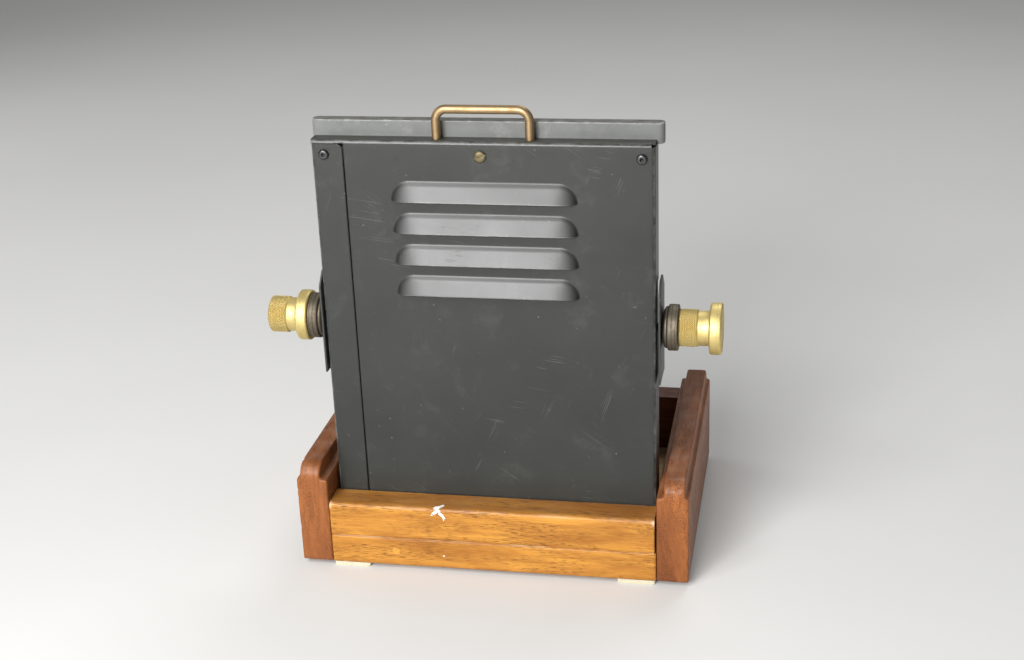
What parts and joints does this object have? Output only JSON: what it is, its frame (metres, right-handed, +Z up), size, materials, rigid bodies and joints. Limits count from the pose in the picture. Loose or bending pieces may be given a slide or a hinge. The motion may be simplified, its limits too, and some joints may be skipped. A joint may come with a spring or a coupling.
{
  "type": "photo enlarger",
  "caption": "Horizontal darkroom enlarger: louvred steel light box in a timber cradle, lifting negative carrier clamped by brass knobs, bellows and lens on guide rods.",
  "frame": {"origin": "middle of the footprint, on the surface that the felt pads stand on", "axes": "+Z up; +Y the direction in which the lens projects, away from the louvred cover; +X towards the focus knob's side, the right as seen from the louvred side"},
  "size_m": [0.42, 0.272, 0.4441],
  "materials": {
    "side_timber": "worn satin varnish, dark red-brown",
    "front_timber": "worn satin varnish, golden brown",
    "rear_timber": "worn satin varnish, dark red",
    "plywood": "bare, sanded",
    "felt": "pressed wool felt, cream",
    "cover_paint": "dark grey satin enamel, scuffed",
    "chassis_paint": "black satin enamel",
    "black_paint": "black satin enamel, dusty",
    "black_aluminium": "black anodised",
    "black_steel": "black oxide",
    "steel": "zinc plated, dull",
    "aged_brass": "tarnished",
    "knob_brass": "turned and knurled",
    "grey_spacer": "grey zinc, worn",
    "lamp_glass": "white phosphor tube",
    "lamp_holder": "moulded, aged",
    "opal_glass": "opal, satin",
    "ballast_case": "grey enamel",
    "terminal_plastic": "moulded",
    "black_plastic": "moulded, fine texture",
    "clear_glass": "polished",
    "bellows_cloth": "black leathercloth",
    "cast_grey": "cast, grey hammered enamel",
    "lens_black": "black anodised"
  },
  "bodies": {
    "base": {"left_side_rail": "side_timber", "right_side_rail": "side_timber", "front_rail_lower": "front_timber", "front_rail_upper": "front_timber", "rear_rail": "rear_timber", "floor_board": "plywood", "front_left_felt_pad": "felt", "front_right_felt_pad": "felt", "rear_left_felt_pad": "felt", "rear_right_felt_pad": "felt", "louvred_cover": "cover_paint", "cover_corner_strip": "cover_paint", "chassis_shell": "chassis_paint", "top_cross_rail": "steel", "left_cover_screw": "black_steel", "right_cover_screw": "black_steel", "brass_cover_screw": "aged_brass", "handle": "aged_brass", "left_handle_nut": "steel", "right_handle_nut": "steel", "lamp_tube_1": "lamp_glass", "lamp_tube_2": "lamp_glass", "lamp_tube_3": "lamp_glass", "left_tube_holder": "lamp_holder", "right_tube_holder": "lamp_holder", "diffuser_glass": "opal_glass", "ballast": "ballast_case", "terminal_block": "terminal_plastic", "cable_gland": "black_plastic", "left_floor_screw": "steel", "right_floor_screw": "steel", "bellows_frame": "black_paint", "bellows": "bellows_cloth", "front_rod_support": "cast_grey", "rear_rod_support": "cast_grey", "left_guide_rod": "steel", "right_guide_rod": "steel", "focus_rack": "knob_brass"},
    "carrier": {"carrier_bar": "black_paint", "carrier_frame": "black_aluminium", "lamp_side_glass": "clear_glass", "lens_side_glass": "clear_glass", "left_stud": "steel", "right_stud": "steel", "left_slot_plate": "black_paint", "right_slot_plate": "black_paint", "left_domed_washer": "grey_spacer", "right_domed_washer": "grey_spacer", "left_ring_washer": "grey_spacer", "right_ring_washer": "grey_spacer"},
    "left_clamp": {"left_knob": "knob_brass"},
    "right_clamp": {"right_knob": "knob_brass"},
    "focus_stage": {"lens_standard": "cast_grey", "lens_board": "black_aluminium", "lens_barrel": "lens_black", "front_lens": "clear_glass", "rear_lens": "clear_glass"},
    "iris": {"aperture_ring": "knob_brass"},
    "focus_drive": {"pinion_shaft": "steel", "focus_knob": "black_plastic"}
  },
  "joints": [
    {"name": "carrier_lift", "type": "slide", "parent": "base", "child": "carrier", "axis": [0, 0, 1], "range_m": [0, 0.04]},
    {"name": "left_knob_turn", "type": "hinge", "parent": "carrier", "child": "left_clamp", "pos_m": [-0.19, -0.084, 0.238], "axis": [-1, 0, 0], "range_deg": [0, 270]},
    {"name": "right_knob_turn", "type": "hinge", "parent": "carrier", "child": "right_clamp", "pos_m": [0.19, -0.084, 0.238], "axis": [1, 0, 0], "range_deg": [0, 270]},
    {"name": "focus_slide", "type": "slide", "parent": "base", "child": "focus_stage", "axis": [0, 1, 0], "range_m": [-0.01, 0.034], "deforming": ["bellows"]},
    {"name": "aperture_turn", "type": "hinge", "parent": "focus_stage", "child": "iris", "pos_m": [0, 0.0746, 0.238], "axis": [0, 1, 0], "range_deg": [0, 90]},
    {"name": "focus_drive_turn", "type": "hinge", "parent": "focus_stage", "child": "focus_drive", "pos_m": [0, 0.048, 0.037], "axis": [1, 0, 0], "range_deg": [-245, 73]}
  ],
  "couplings": [
    {"joint": "focus_drive_turn", "follows": "focus_slide", "rad_per_m": -125}
  ]
}
